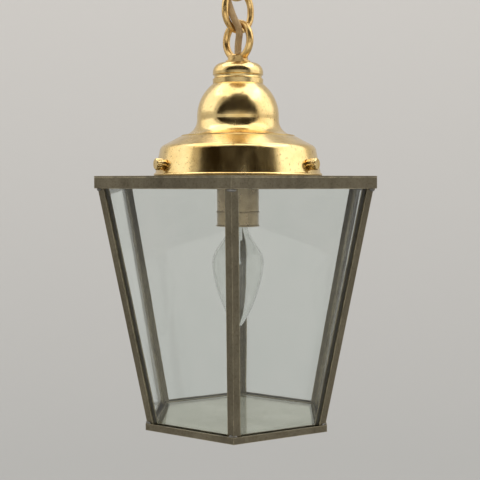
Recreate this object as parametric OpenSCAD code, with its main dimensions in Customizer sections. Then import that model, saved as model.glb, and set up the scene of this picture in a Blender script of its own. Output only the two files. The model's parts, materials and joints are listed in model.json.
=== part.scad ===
// Hexagonal glass ceiling lantern on a brass chain.
// Origin at the ceiling, on the lamp's axis. +Z up, the lamp hangs below. Millimetres.

/* [Ceiling rose] */
// Outside radius of the rose at the ceiling
rose_r = 45; // [42:1:60]
// Height of the rose
rose_h = 25; // [24:0.5:32]
// Radius of the round between the side and the floor of the rose
rose_round_r = 18; // [12:1:19]
// Wall of the rose
rose_wall = 0.9; // [0.6:0.1:1.2]
// Distance between the two fixing holes
bar_hole_spacing = 70; // [66:1:71]
// Radius of a fixing hole
bar_hole_r = 2.3; // [1.8:0.1:2.8]
// Width of the fixing bar
bar_w = 20; // [18:1:26]
// Thickness of the fixing bar
bar_t = 1.5; // [1.2:0.1:2]
// Room for wires between the ceiling and the bar
bar_drop = 13; // [12:0.5:14]

/* [Chain] */
// Radius of a link's wire
link_wire_r = 2.3; // [1.8:0.1:2.4]
// Radius of a link's round end, to the middle of its wire
link_bend_r = 12; // [11.75:0.25:14]
// Length of a link's straight sides
link_side = 3; // [2:0.5:8]
// Radius of the wire of the two end loops
loop_wire_r = 2.5; // [2:0.1:2.6]
// Radius of an end loop, to the middle of its wire
loop_r = 12; // [11.5:0.25:13]
// Radius of the boss under an end loop
boss_r = 7; // [6.5:0.25:8]
// Height of that boss
boss_h = 5.5; // [5:0.25:8]

/* [Flex] */
// Radius of the braided flex
flex_r = 2.5; // [2.2:0.1:2.6]
// Radius of one insulated core
core_r = 0.9; // [0.7:0.1:1]

/* [Threaded tubes] */
// Outside radius of the threaded tubes
tube_r = 5; // [4.8:0.1:5.5]
// Radius of their bore
tube_bore_r = 3.8; // [3.5:0.1:4]
// Width across the flats of a nut
nut_flats = 15; // [13:0.5:17]
// Thickness of a nut
nut_t = 3.5; // [3:0.25:4]

/* [Brass cap] */
// Radius of the turned collar over the dome
collar_r = 17.5; // [14:0.5:19]
// Radius of the flat top of the collar
collar_top_r = 11; // [9:0.5:12]
// Height of the collar's top above the middle of the top rim
collar_top = 83; // [81:0.5:88]
// Radius of the dome
dome_r = 28.5; // [27:0.5:29.5]
// Height of the dome's equator above the rim
dome_mid = 46; // [45:0.5:47]
// Radius of the hollow sweep at the dome's foot
dome_sweep_r = 11; // [8:0.5:11.5]
// Height of the gallery's flat top above the rim
gallery_top = 32; // [31:0.5:33]
// Outside radius of the gallery at its foot
gallery_foot_r = 58; // [56:0.5:62]
// Outside radius of the gallery where the skirt meets the shoulder
gallery_skirt_top_r = 54.4; // [53:0.2:55]
// Height of the straight part of the skirt
gallery_skirt_h = 18; // [16.5:0.5:19]
// Radius of the round between skirt and shoulder
gallery_round_r = 5; // [3:0.5:6]
// Wall of the spun cap pieces
cap_wall = 0.9; // [0.7:0.1:1.1]
// Radius of the rolled bead round the gallery's foot
bead_r = 1.2; // [1:0.1:1.4]

/* [Gallery screws] */
// Radius of a gallery screw's shank
screw_r = 1.5; // [1.3:0.1:1.8]
// Radius of its knurled head
screw_head_r = 4; // [3:0.25:4.5]
// Thickness of its knurled head
screw_head_t = 4.5; // [3:0.25:6]
// Height of the screws above the plate under the gallery
screw_up = 8; // [7:0.25:8.5]

/* [Lantern body] */
// Corner radius of the glass body at the top rim
body_top_r = 102.5; // [98:0.5:115]
// Corner radius of the glass body at its foot
body_foot_r = 67.5; // [60:0.5:72]
// Height of the glass body
body_h = 165; // [155:1:190]
// Thickness of the side panes
pane_t = 3; // [2.5:0.25:4]
// Thickness of the bottom pane
floor_pane_t = 3; // [2:0.25:4]
// Height of the top rim
top_rim_h = 7; // [6:0.25:9]
// Height of the bottom rim
foot_rim_h = 4.5; // [4.25:0.25:6]
// Sheet of which rims are folded
rim_wall = 1; // [0.8:0.1:1.4]
// Width of the ledge that carries the bottom pane
ledge_w = 3; // [2:0.25:5]
// Sheet of which the corner strips are drawn
strip_t = 0.9; // [0.7:0.1:1.2]
// Width of one wing of a corner strip outside the glass
strip_out_w = 4.2; // [3:0.2:6]
// Width of one wing of a corner strip inside the glass
strip_in_w = 4; // [3:0.2:5]
// Thickness of the web between two panes
web_t = 1.2; // [0.8:0.1:2]
// Thickness of the top plate
plate_t = 1; // [0.8:0.1:1.5]
// Outside radius of the neck that the gallery grips
neck_r = 47; // [45:0.25:48]
// Height of the neck
neck_h = 14; // [12.5:0.5:16]
// Number of vent holes in the top plate
vent_count = 24; // [12:6:36]
// Radius of a vent hole
vent_r = 2; // [1.5:0.25:2.5]
// Radius of the ring of vent holes
vent_ring_r = 72; // [68:1:78]

/* [Lampholder and bulb] */
// Outside radius of the lampholder
holder_r = 14; // [13.5:0.25:15]
// Length of the lampholder's barrel
holder_h = 38; // [36:0.5:44]
// Height of the barrel's upper end above the rim
holder_top = 8; // [6:0.5:9]
// Wall of the holder's brass shells
holder_wall = 0.7; // [0.5:0.1:0.9]
// Radius of the bulb's screw cap over its thread
bulb_cap_r = 6.9; // [6.6:0.1:7.1]
// Length of the screw cap
bulb_cap_h = 19; // [18:0.5:21]
// Largest radius of the bulb's glass
bulb_r = 17.5; // [14:0.5:20]
// Length of the bulb's glass below its cap
bulb_glass_h = 73; // [65:1:85]
// Thickness of the bulb's glass
bulb_wall = 0.7; // [0.5:0.1:0.9]

/* [Hidden] */

$fn = 64;
eps = 0.01;
big = 500;

// Clearances
link_gap = 0.1; // between the wires of two links
weave_gap = 0.35; // between the flex and the wires that it passes
thread_gap = 0.05; // round a threaded tube or a screw
seat_gap = 0.05; // between pieces that lie on each other
slip_gap = 0.15; // between glass or strip and the channel that holds it
glass_gap = 0.1; // between glass and strip
bulb_gap = 0.1; // between the bulb's cap and the sleeve it screws into
holder_slip = 0.2; // between the holder's insert and its barrel
wire_gap = 0.3; // round a core in its hole

// Colours
brass = [0.80, 0.66, 0.38];
old_brass = [0.44, 0.40, 0.30];
steel = [0.62, 0.62, 0.60];
cloth = [0.72, 0.58, 0.38];
clear = [0.74, 0.80, 0.75, 0.35];
white = [0.92, 0.91, 0.88];
black = [0.12, 0.12, 0.14];

// Chain: heights of the four pivots, each the middle of the upper wire
chain_turn = -45; // the end loops and every second link stand at this angle to the front
link_pitch = link_side + 2 * link_bend_r - 2 * link_wire_r - link_gap;
loop_sink = 2.3; // how deep the middle of a loop's wire lies in its boss
loop_seat = boss_h - loop_sink; // from the foot of a boss to the middle of the wire on it
boss_cap = 1.2; // what a boss keeps over the end of its thread
rose_loop_mid = -rose_h - seat_gap - loop_seat - loop_r;
end_reach = loop_wire_r + link_wire_r + link_gap;
first_drop = 2 * link_bend_r + link_side - end_reach;
pivot_1 = rose_loop_mid - loop_r;
pivot_2 = pivot_1 - first_drop;
pivot_3 = pivot_2 - link_pitch;
pivot_4 = pivot_3 - link_pitch;
lamp_loop_mid = pivot_4 + end_reach - loop_r;
link_low = [pivot_2, pivot_3, pivot_4]; // middle of the lowest wire of each link

// Height of the middle of the top rim
rim_z = lamp_loop_mid - loop_r - loop_seat - collar_top;

// Glass body: slopes and angles of its faces and corners
flats = cos(30); // a hexagon's flat radius over its corner radius
corner_slope = (body_top_r - body_foot_r) / body_h;
corner_lean = atan(corner_slope);
face_lean = atan(corner_slope * flats);
half_corner = acos(cos(face_lean) / 2);
channel_t = pane_t + 2 * glass_gap; // room for a pane between the strips
channel_root = channel_t / tan(half_corner); // from a corner to where the inner faces meet
pane_inset = channel_root + web_t / 2 / sin(half_corner); // from a corner to the channel's end
wrap = (strip_t + slip_gap) / flats / cos(face_lean);
inner_wrap = (channel_t + strip_t + slip_gap) / flats / cos(face_lean);
rim_top = top_rim_h / 2;
glass_top = rim_top - rim_wall - slip_gap; // upper edge of panes and strips
glass_foot = -body_h - slip_gap; // lower edge of panes and strips
rim_foot = -body_h - rim_wall - 2 * slip_gap; // underside of the foot rim

function corner_at(h) = body_top_r + h * corner_slope;

// Top plate, neck and gallery
plate_top = rim_top + seat_gap + plate_t;
gallery_foot = plate_top + seat_gap;
neck_wall = 1.2;
neck_flange_w = 4;
neck_bead_r = 1;
screw_h = gallery_foot + screw_up;
skirt_top = gallery_foot + gallery_skirt_h;
skirt_lean = (gallery_foot_r - gallery_skirt_top_r) / gallery_skirt_h;
skirt_r = gallery_foot_r - screw_up * skirt_lean;
screw_boss_r = 3.2;
screw_boss_out = 1.2; // how far a screw's boss stands out of the skirt
screw_boss_in = 2.4;
screw_turns = [210, 330, 90]; // directions of the three screws, none facing the front

// Lampholder and bulb heights above the rim
tube_foot = holder_top + 7; // the tube ends inside the holder's cap
holder_foot = holder_top - holder_h;
insert_top = holder_top - 2;
insert_web = 12; // solid upper part of the insert
sleeve_top = insert_top - insert_web;
sleeve_wall = 0.5;
sleeve_r = bulb_cap_r + bulb_gap;
contact_t = 0.9; // holder's middle contact
insulator_h = 2.2;
bulb_contact_t = 0.3;
tip_gap = 0.3; // between the bulb's contact and the holder's
cap_top = sleeve_top - seat_gap - contact_t - tip_gap - bulb_contact_t - insulator_h
  - 2 * seat_gap; // upper end of the bulb's screw shell
cap_foot = cap_top - bulb_cap_h;
bulb_shell_r = bulb_cap_r - 0.5; // between the ridges of the bulb's thread
bulb_shell_t = 0.3;
glass_seat = 3; // how far the glass reaches up into its cap
stem_r = 2.4;

// A hexagonal prism with a corner towards the front, from height a up to height b
module hex_prism(corner, a, b) {
  translate([0, 0, a])
    rotate([0, 0, 30])
      cylinder(r = corner, h = b - a, $fn = 6);
}

module hex_ring(outer, inner, a, b) {
  difference() {
    hex_prism(outer, a, b);
    hex_prism(inner, a - eps, b + eps);
  }
}

// Profiles and solids above are given from the middle of the top rim
module at_rim() {
  translate([0, 0, rim_z])
    children();
}

module pipe(outer, inner, a, b) {
  translate([0, 0, a])
    difference() {
      cylinder(r = outer, h = b - a);
      translate([0, 0, -eps])
        cylinder(r = inner, h = b - a + 2 * eps);
    }
}

nut_corner_off = 0.4; // how much is turned off a nut's corners

module hex_nut(a) {
  corner_r = nut_flats / 2 / flats;
  translate([0, 0, a])
    difference() {
      intersection() {
        cylinder(r = corner_r, h = nut_t, $fn = 6);
        cylinder(r = corner_r - nut_corner_off, h = nut_t);
      }
      translate([0, 0, -eps])
        cylinder(r = tube_r + thread_gap, h = nut_t + 2 * eps);
    }
}

// A tube along the points of a path from one index to another. Its rings stand square to
// the whole path, so two stretches meet face to face. The path is never level along y.
module swept(path, radius, sides, from = 0, to = -1) {
  last = to < 0 ? len(path) - 1 : to;
  count = last - from + 1;
  points = [for (i = [from : last])
    let (along = path[min(i + 1, len(path) - 1)] - path[max(i - 1, 0)],
      across = cross([0, 1, 0], along) / norm(cross([0, 1, 0], along)),
      up = cross(along, across) / norm(along))
    for (s = [0 : sides - 1])
      path[i] + radius * (cos(360 * s / sides) * across + sin(360 * s / sides) * up)];
  walls = [for (i = [0 : count - 2]) for (s = [0 : sides - 1])
    let (t = (s + 1) % sides)
    [i * sides + s, (i + 1) * sides + s, (i + 1) * sides + t, i * sides + t]];
  start = [for (s = [0 : sides - 1]) s];
  end = [for (s = [sides - 1 : -1 : 0]) (count - 1) * sides + s];
  polyhedron(points = points, faces = concat(walls, [start], [end]), convexity = 4);
}

// Points in the plane y = 0 from pairs of distance and height
function upright(pairs) = [for (p = pairs) [p[0], 0, p[1]]];

// Ceiling rose

bar_hole_in = 6.5; // from a fixing hole in to the bent leg
bar_end_gap = 2.6; // from the ends of the bar's feet to the rose

module fixing_bar() {
  leg = bar_hole_spacing / 2 - bar_hole_in; // outside of the bent legs
  foot_w = rose_r - rose_wall - bar_end_gap - leg;
  color(steel)
    difference() {
      rotate([90, 0, 0])
        linear_extrude(height = bar_w, center = true)
          union() {
            translate([-leg, -bar_drop - bar_t])
              square([2 * leg, bar_t]);
            for (side = [0, 1])
              mirror([side, 0]) {
                translate([leg - bar_t, -bar_drop - bar_t])
                  square([bar_t, bar_drop + bar_t]);
                translate([leg - bar_t, -bar_t])
                  square([foot_w + bar_t, bar_t]);
              }
          }
      for (side = [-1, 1])
        translate([side * bar_hole_spacing / 2, 0, -bar_t - eps])
          cylinder(r = bar_hole_r, h = bar_t + 2 * eps);
      translate([0, 0, -bar_drop - bar_t - eps])
        cylinder(r = tube_r + thread_gap, h = bar_t + 2 * eps);
    }
}

// Half outline of the rose, smaller by inset all round except at the ceiling
module rose_outline(inset) {
  side_h = rose_h - rose_round_r;
  translate([0, -side_h])
    square([rose_r - inset, side_h]);
  translate([0, -rose_h + inset])
    square([rose_r - rose_round_r, rose_h - inset]);
  intersection() {
    translate([rose_r - rose_round_r, -side_h])
      circle(r = rose_round_r - inset);
    translate([0, -rose_h])
      square([rose_r, rose_h]);
  }
}

module rose() {
  color(brass)
    rotate_extrude()
      difference() {
        union() {
          rose_outline(0);
          intersection() {
            translate([rose_r - bead_r / 2, -bead_r])
              circle(r = bead_r);
            translate([0, -rose_h])
              square([2 * rose_r, rose_h]);
          }
        }
        translate([0, eps])
          rose_outline(rose_wall);
        rose_outline(rose_wall);
        translate([0, -rose_h - eps])
          square([tube_r + thread_gap, rose_h]);
      }
}

tube_over = 1; // how far the upper tube stands over its bar

module rose_tube() {
  color(steel)
    pipe(tube_r, tube_bore_r, -rose_h - boss_h + boss_cap, -bar_drop + tube_over);
}

module rose_nuts() {
  color(steel) {
    hex_nut(-bar_drop - bar_t - seat_gap - nut_t);
    hex_nut(-rose_h + rose_wall + seat_gap);
  }
}

// An end loop standing on its boss. The foot of the boss is at height 0.
module end_loop() {
  lip = 0.8; // chamfer round the boss's top
  base_w = 1.6; // how far the boss's base stands out
  base_h = 1.4;
  wireway_r = tube_bore_r - 0.3;
  difference() {
    union() {
      translate([0, 0, loop_seat + loop_r])
        rotate([90, 0, 0])
          rotate_extrude()
            translate([loop_r, 0])
              circle(r = loop_wire_r);
      cylinder(r = boss_r, h = boss_h - lip);
      translate([0, 0, boss_h - lip])
        cylinder(r1 = boss_r, r2 = boss_r - lip, h = lip);
      cylinder(r = boss_r + base_w, h = base_h);
    }
    translate([0, 0, -loop_r])
      cylinder(r = boss_r, h = loop_r);
    translate([0, 0, -eps])
      cylinder(r = tube_r + thread_gap, h = boss_h - boss_cap + eps);
    cylinder(r = wireway_r, h = boss_h + loop_wire_r);
  }
}

module rose_loop() {
  color(brass)
    translate([0, 0, -rose_h - seat_gap])
      rotate([0, 0, chain_turn])
        mirror([0, 0, 1])
          end_loop();
}

// Terminal block: three ways side by side, each with a screw tower at both ends
block_l = 14;
block_w = 20;
block_h = 8;
block_x = -18; // middle of the block
block_base_h = 1.6;
way_step = 6.4;
way_w = 5.2;
way_r = 1.5;
way_up = 4; // middle of a way above the block's foot
tower_r = 2.4;
tower_x = 3.6; // from the block's middle to a tower
block_screw_r = 1.6;
block_screw_up = 5.6;
block_screw_t = 2;

module terminal_block() {
  color(white)
    translate([block_x, 0, -bar_drop + seat_gap])
      difference() {
        union() {
          translate([-block_l / 2, -block_w / 2, 0])
            cube([block_l, block_w, block_base_h]);
          for (way = [-1 : 1])
            translate([0, way * way_step, 0]) {
              translate([-block_l / 2, -way_w / 2, 0])
                cube([block_l, way_w, way_up + way_w / 2]);
              for (end = [-1, 1])
                translate([end * tower_x, 0, 0])
                  cylinder(r = tower_r, h = block_h);
            }
        }
        for (way = [-1 : 1])
          translate([0, way * way_step, way_up]) {
            rotate([0, 90, 0])
              cylinder(r = way_r, h = 2 * block_l, center = true);
            for (end = [-1, 1])
              translate([end * tower_x, 0, 0])
                cylinder(r = block_screw_r, h = block_h);
          }
      }
}

module terminal_screws() {
  slot_w = 0.5;
  slot_deep = 0.7;
  color(brass)
    for (way = [-1 : 1])
      for (end = [-1, 1])
        translate([block_x + end * tower_x, way * way_step, -bar_drop + seat_gap + block_screw_up])
          difference() {
            cylinder(r = block_screw_r - thread_gap, h = block_screw_t);
            translate([-block_screw_r, -slot_w / 2, block_screw_t - slot_deep])
              cube([2 * block_screw_r, slot_w, block_screw_t]);
          }
}

// Flex

flex_sides = 12;
core_sides = 8;
cross_up = link_wire_r + link_gap / 2; // from a pivot up to where the two wires meet
rose_mouth = -rose_h - seat_gap - boss_h;
lamp_mouth = rim_z + collar_top + boss_h;
crossing = [for (pivot = [pivot_1, pivot_2, pivot_3, pivot_4]) pivot + cross_up];
flex_steps = 8; // rings in half a link's length
lead_steps = 16; // rings from a wireway to the side of its crossing
lead_straight = 0.3; // straight stretch at a wireway
// Distance of the flex from the axis where two links cross, and in the middle of a link
cross_r = sqrt(2) * (loop_wire_r + flex_r + weave_gap);
mid_r = link_bend_r - link_wire_r - flex_r - weave_gap;

// Each link turns the flex a quarter round the chain, so that it passes through every link.
// A point at the share u, from 0 to 1, of the way from crossing k to the next one
function woven(k, u) =
  let (r = cross_r + (mid_r - cross_r) * (1 - cos(360 * u)) / 2, turn = 90 * (k + u))
  [r * cos(turn), r * sin(turn), crossing[k] + (crossing[k + 1] - crossing[k]) * u];

weave = concat([for (k = [0 : 2]) for (i = [0 : 2 * flex_steps - 1])
  woven(k, i / flex_steps / 2)], [woven(2, 1)]);

// From the axis at a wireway to the side of crossing k, where it turns at the weave's pace
function lead(k, mouth) =
  let (start = mouth + sign(crossing[k] - mouth) * lead_straight, drop = crossing[k] - start)
  concat([[0, 0, mouth]], [for (i = [0 : lead_steps - 1])
    let (u = i / lead_steps, r = cross_r * (1 - cos(180 * u)) / 2,
      turn = 90 * (k + (1 - u) * u * u * drop / link_pitch))
    [r * cos(turn), r * sin(turn), start + drop * u]]);

function reversed(list) = [for (i = [len(list) - 1 : -1 : 0]) list[i]];

flex_route = concat(lead(0, rose_mouth), weave, reversed(lead(3, lamp_mouth)));
// The flex is cut where it passes through the middle of a link
flex_cut = concat([0], [for (k = [0 : 2]) lead_steps + 1 + (2 * k + 1) * flex_steps],
  [len(flex_route) - 1]);

module flex(k) {
  color(cloth)
    swept(flex_route, flex_r, flex_sides, flex_cut[k - 1], flex_cut[k]);
}

rose_flex_top = -bar_drop + 0.5; // where the flex's braid ends in the rose

module flex_rose_end() {
  color(cloth)
    translate([0, 0, rose_mouth])
      cylinder(r = flex_r, h = rose_flex_top - rose_mouth);
}

module flex_lamp_end() {
  color(cloth)
    translate([0, 0, rim_z + tube_foot])
      cylinder(r = flex_r, h = lamp_mouth - rim_z - tube_foot);
}

core_step = 2 * core_r + 0.15; // the cores lie side by side where they leave the flex
core_bend = 3;
core_in = 1.4; // how far a core reaches into its way of the block
core_straight = 0.4; // straight start of a core in the lamp

// A core rises out of the flex, bends over and runs into its way of the block
module core_to_block(way) {
  way_z = -bar_drop + seat_gap + way_up;
  reach = -block_x - block_l / 2 + core_in;
  turn = atan(way * (way_step - core_step) / reach);
  far = reach / cos(turn);
  bend = min(core_bend, way_z - rose_flex_top);
  route = concat([[0, rose_flex_top]],
    [for (a = [0 : 15 : 90]) [bend * (1 - cos(a)), way_z - bend + bend * sin(a)]],
    [[(bend + far) / 2, way_z], [far, way_z]]);
  translate([0, way * core_step, 0])
    rotate([0, 0, 180 - turn])
      swept(upright(route), core_r, core_sides);
}

module cores_rose() {
  color(white)
    for (way = [-1 : 1])
      core_to_block(way);
}

core_foot_r = 7; // from the axis to a core's hole in the insert
core_rings = 8;

module cores_lamp() {
  start = tube_foot - core_straight;
  drop = start - insert_top - seat_gap;
  route = concat([[core_step, tube_foot]], [for (i = [0 : core_rings]) let (u = i / core_rings)
    [core_step + (core_foot_r - core_step) * (1 - cos(180 * u)) / 2, start - drop * u]]);
  color(white)
    at_rim()
      for (turn = [0, 180])
        rotate([0, 0, turn])
          swept(upright(route), core_r, core_sides);
}

// Chain links

module link(i) {
  middle = link_low[i - 1] + link_bend_r + link_side / 2;
  color(brass)
    translate([0, 0, middle])
      rotate([90, 0, i % 2 == 1 ? -chain_turn : chain_turn])
        for (end = [0, 1])
          mirror([0, end, 0]) {
            translate([0, link_side / 2, 0])
              rotate_extrude(angle = 180)
                translate([link_bend_r, 0])
                  circle(r = link_wire_r);
            for (side = [-1, 1])
              translate([side * link_bend_r, 0, 0])
                rotate([-90, 0, 0])
                  cylinder(r = link_wire_r, h = link_side / 2);
          }
}

// Brass cap

module lamp_loop() {
  color(brass)
    translate([0, 0, rim_z + collar_top])
      rotate([0, 0, chain_turn])
        end_loop();
}

module collar() {
  groove_r = 1.6;
  groove_out = 0.6; // how far outside the collar the groove's middle lies
  groove_down = 3.2; // groove's middle below the round edge
  edge_r = collar_r - collar_top_r;
  foot = dome_mid;
  color(brass)
    at_rim()
      difference() {
        rotate_extrude()
          difference() {
            union() {
              translate([0, foot])
                square([collar_r, collar_top - seat_gap - foot - edge_r]);
              translate([0, foot])
                square([collar_top_r, collar_top - seat_gap - foot]);
              translate([collar_top_r, collar_top - seat_gap - edge_r])
                circle(r = edge_r);
            }
            translate([collar_r + groove_out, collar_top - edge_r - groove_down])
              circle(r = groove_r);
            translate([0, foot - eps])
              square([tube_r + thread_gap, big]);
          }
        translate([0, 0, dome_mid])
          sphere(r = dome_r + seat_gap);
      }
}

dome_seat_w = 3; // width of the dome's flat edge on the gallery

// Half outline of the dome: a half round over a hollow sweep down to its foot. The inner
// one is smaller by inset and open below.
module dome_outline(inset) {
  foot = gallery_top + seat_gap;
  low = inset > 0 ? foot - 1 : foot;
  intersection() {
    translate([0, dome_mid])
      circle(r = dome_r - inset);
    translate([0, dome_mid])
      square([dome_r, dome_r]);
  }
  translate([0, low])
    square([dome_r - inset, dome_mid - low]);
  difference() {
    translate([0, low])
      square([dome_r + dome_sweep_r - (inset > 0 ? dome_seat_w : 0),
        foot - low + cap_wall + dome_sweep_r]);
    translate([dome_r + dome_sweep_r, foot + cap_wall + dome_sweep_r])
      circle(r = dome_sweep_r + inset);
  }
}

module cap_dome() {
  color(brass)
    at_rim()
      rotate_extrude()
        difference() {
          dome_outline(0);
          dome_outline(cap_wall);
          translate([0, dome_mid])
            square([tube_r + thread_gap, 2 * dome_r]);
        }
}

// Half outline of the gallery, moved in and down by inset
module gallery_outline(inset) {
  lean = atan(skirt_lean);
  low = inset > 0 ? gallery_foot - 1 + inset : gallery_foot;
  mid = [gallery_skirt_top_r, skirt_top] - gallery_round_r * [cos(lean), sin(lean)];
  flat_edge = [dome_r + dome_sweep_r + 1, gallery_top];
  away = flat_edge - mid;
  // where the straight shoulder leaves the round
  tangent = atan2(away[1], away[0]) - acos(gallery_round_r / norm(away));
  steps = 8;
  translate([-inset, -inset])
    polygon(concat([[-1, low], [gallery_foot_r, low]],
      [for (i = [0 : steps]) let (a = lean + (tangent - lean) * i / steps)
        mid + gallery_round_r * [cos(a), sin(a)]],
      [flat_edge, [-1, gallery_top]]));
}

module gallery() {
  color(brass)
    at_rim()
      difference() {
        union() {
          rotate_extrude()
            difference() {
              union() {
                intersection() {
                  gallery_outline(0);
                  square(big);
                }
                translate([gallery_foot_r - bead_r / 2, gallery_foot + bead_r])
                  circle(r = bead_r);
              }
              gallery_outline(cap_wall);
            }
          for (turn = screw_turns)
            rotate([0, 0, turn])
              translate([skirt_r - screw_boss_in, 0, screw_h])
                rotate([0, 90, 0])
                  cylinder(r = screw_boss_r, h = screw_boss_in + screw_boss_out);
        }
        for (turn = screw_turns)
          rotate([0, 0, turn])
            translate([skirt_r - 2 * screw_boss_in, 0, screw_h])
              rotate([0, 90, 0])
                cylinder(r = screw_r + thread_gap, h = 4 * screw_boss_in);
        translate([0, 0, gallery_top - 2 * cap_wall])
          cylinder(r = tube_r + thread_gap, h = 4 * cap_wall);
      }
}

module lamp_tube() {
  color(steel)
    at_rim()
      pipe(tube_r, tube_bore_r, tube_foot, collar_top + boss_h - boss_cap - seat_gap);
}

washer_t = 1;
washer_r = 11;

module lamp_washer() {
  top = gallery_top - cap_wall - seat_gap;
  color(steel)
    at_rim()
      pipe(washer_r, tube_r + thread_gap, top - washer_t, top);
}

module lamp_nut() {
  color(steel)
    at_rim()
      hex_nut(gallery_top - cap_wall - 2 * seat_gap - washer_t - nut_t);
}

module gallery_screw(i) {
  tip = neck_r + 0.15;
  head = skirt_r + screw_boss_out + 0.3;
  chamfer = 0.6;
  flutes = 18;
  flute_r = 0.4;
  flute_out = 0.15; // how far outside the head's rim a flute's middle lies
  plain = 0.8; // plain band under the flutes
  color(brass)
    at_rim()
      rotate([0, 0, screw_turns[i - 1]])
        translate([0, 0, screw_h])
          rotate([0, 90, 0]) {
            translate([0, 0, tip])
              cylinder(r = screw_r, h = head - tip);
            difference() {
              union() {
                translate([0, 0, head])
                  cylinder(r = screw_head_r, h = screw_head_t - chamfer);
                translate([0, 0, head + screw_head_t - chamfer])
                  cylinder(r1 = screw_head_r, r2 = screw_head_r - chamfer, h = chamfer);
              }
              for (f = [1 : flutes])
                rotate([0, 0, 360 * f / flutes])
                  translate([screw_head_r + flute_out, 0, head + plain])
                    cylinder(r = flute_r, h = screw_head_t);
            }
          }
}

// Glass body

module top_plate() {
  color(old_brass)
    at_rim()
      difference() {
        hex_prism(corner_at(glass_top) + wrap + rim_wall, rim_top + seat_gap, plate_top);
        translate([0, 0, rim_top])
          cylinder(r = neck_r - neck_wall, h = 4 * plate_t);
        for (v = [1 : vent_count])
          rotate([0, 0, 360 * v / vent_count])
            translate([vent_ring_r, 0, rim_top])
              cylinder(r = vent_r, h = 4 * plate_t);
      }
}

module neck_ring() {
  foot = plate_top + seat_gap / 2;
  flange_t = 0.8;
  color(old_brass)
    at_rim()
      rotate_extrude()
        union() {
          translate([neck_r - neck_wall, foot])
            square([neck_flange_w + neck_wall, flange_t]);
          translate([neck_r - neck_wall, foot])
            square([neck_wall, neck_h]);
          translate([neck_r - neck_wall / 2, foot + neck_h])
            circle(r = neck_bead_r);
        }
}

module top_rim() {
  outer = corner_at(glass_top) + wrap + rim_wall;
  inner = corner_at(-rim_top) - inner_wrap - rim_wall;
  color(old_brass)
    at_rim()
      difference() {
        hex_ring(outer, inner, -rim_top, rim_top);
        hex_ring(outer - rim_wall, inner + rim_wall, -rim_top - eps, rim_top - rim_wall);
      }
}

foot_groove = rim_foot + rim_wall;
foot_rim_inner = corner_at(foot_groove) - inner_wrap - rim_wall;

module foot_rim() {
  outer = corner_at(rim_foot + foot_rim_h) + wrap + rim_wall;
  color(old_brass)
    at_rim()
      difference() {
        hex_ring(outer, foot_rim_inner - ledge_w, rim_foot, rim_foot + foot_rim_h);
        hex_ring(outer - rim_wall, foot_rim_inner + rim_wall, foot_groove,
          rim_foot + foot_rim_h + eps);
        hex_prism(foot_rim_inner, foot_groove, rim_foot + foot_rim_h + eps);
      }
}

module floor_pane() {
  color(clear)
    at_rim()
      hex_prism(foot_rim_inner - slip_gap, foot_groove + seat_gap,
        foot_groove + seat_gap + floor_pane_t);
}

// Cross-section of a corner strip, with a channel for a pane on each side. The corner of
// its outer channel wall is at the origin, x points away from the lamp.
module strip_section() {
  along = [-cos(half_corner), sin(half_corner)];
  out = [sin(half_corner), cos(half_corner)];
  crest = strip_t / sin(half_corner);
  valley = (channel_t + strip_t) / sin(half_corner);
  wing = [along * strip_out_w + out * strip_t,
    along * strip_out_w,
    along * pane_inset,
    along * pane_inset - out * channel_t,
    along * (channel_root + strip_in_w) - out * channel_t,
    along * (channel_root + strip_in_w) - out * (channel_t + strip_t)];
  polygon(concat([[crest, 0]], wing, [[-valley, 0]],
    [for (p = reversed(wing)) [p[0], -p[1]]]));
}

module corner_strip(i) {
  color(old_brass)
    at_rim()
      rotate([0, 0, 60 * i - 150])
        intersection() {
          translate([body_top_r, 0, 0])
            rotate([0, corner_lean, 0])
              translate([0, 0, -1.2 * body_h])
                linear_extrude(height = 1.4 * body_h)
                  strip_section();
          translate([0, -big / 2, glass_foot])
            cube([big, big, glass_top - glass_foot]);
        }
}

module pane(i) {
  rise = glass_top / cos(face_lean) - (glass_gap + pane_t) * tan(face_lean);
  fall = glass_foot / cos(face_lean);
  edge_lean = atan(corner_slope * cos(face_lean) / 2);
  edge_in = (pane_inset + glass_gap) / cos(edge_lean);
  half_top = corner_at(glass_top) / 2 - edge_in;
  half_foot = corner_at(glass_foot) / 2 - edge_in;
  color(clear)
    at_rim()
      rotate([0, 0, 60 * i - 120])
        translate([body_top_r * flats, 0, 0])
          rotate([0, face_lean, 0])
            rotate([90, 0, 90])
              translate([0, 0, -glass_gap - pane_t])
                linear_extrude(height = pane_t)
                  polygon([[-half_foot, fall], [half_foot, fall], [half_top, rise],
                    [-half_top, rise]]);
}

// Lampholder

holder_side_h = 3; // straight side of the holder's cap
holder_edge_r = 6; // round of the holder's cap
holder_boss_w = 2.2; // wall of the boss that takes the tube
holder_boss_h = 3.5;

// Half outline of the holder's cap over its lower edge, smaller by inset
module holder_cap_outline(inset) {
  side_r = holder_r - inset;
  square([side_r, holder_side_h]);
  intersection() {
    translate([holder_r - holder_edge_r, holder_side_h])
      circle(r = holder_edge_r - inset);
    square(big);
  }
  square([holder_r - holder_edge_r, holder_side_h + holder_edge_r - inset]);
}

module holder_cap() {
  color(brass)
    at_rim()
      translate([0, 0, holder_top])
        rotate_extrude()
          difference() {
            union() {
              holder_cap_outline(0);
              square([tube_r + holder_boss_w, holder_side_h + holder_edge_r + holder_boss_h]);
            }
            translate([0, -eps])
              holder_cap_outline(holder_wall);
            square([tube_r + thread_gap, big]);
          }
}

module holder_barrel() {
  top = holder_top - seat_gap;
  bead = 0.6;
  rib_up = 10; // rib above the barrel's lower end
  color(brass)
    at_rim()
      rotate_extrude()
        union() {
          translate([holder_r - holder_wall, holder_foot])
            square([holder_wall, top - holder_foot]);
          for (up = [bead, rib_up, top - holder_foot - bead])
            translate([holder_r, holder_foot + up])
              circle(r = bead);
        }
}

insert_up = 2; // lower end of the insert above the barrel's

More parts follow.
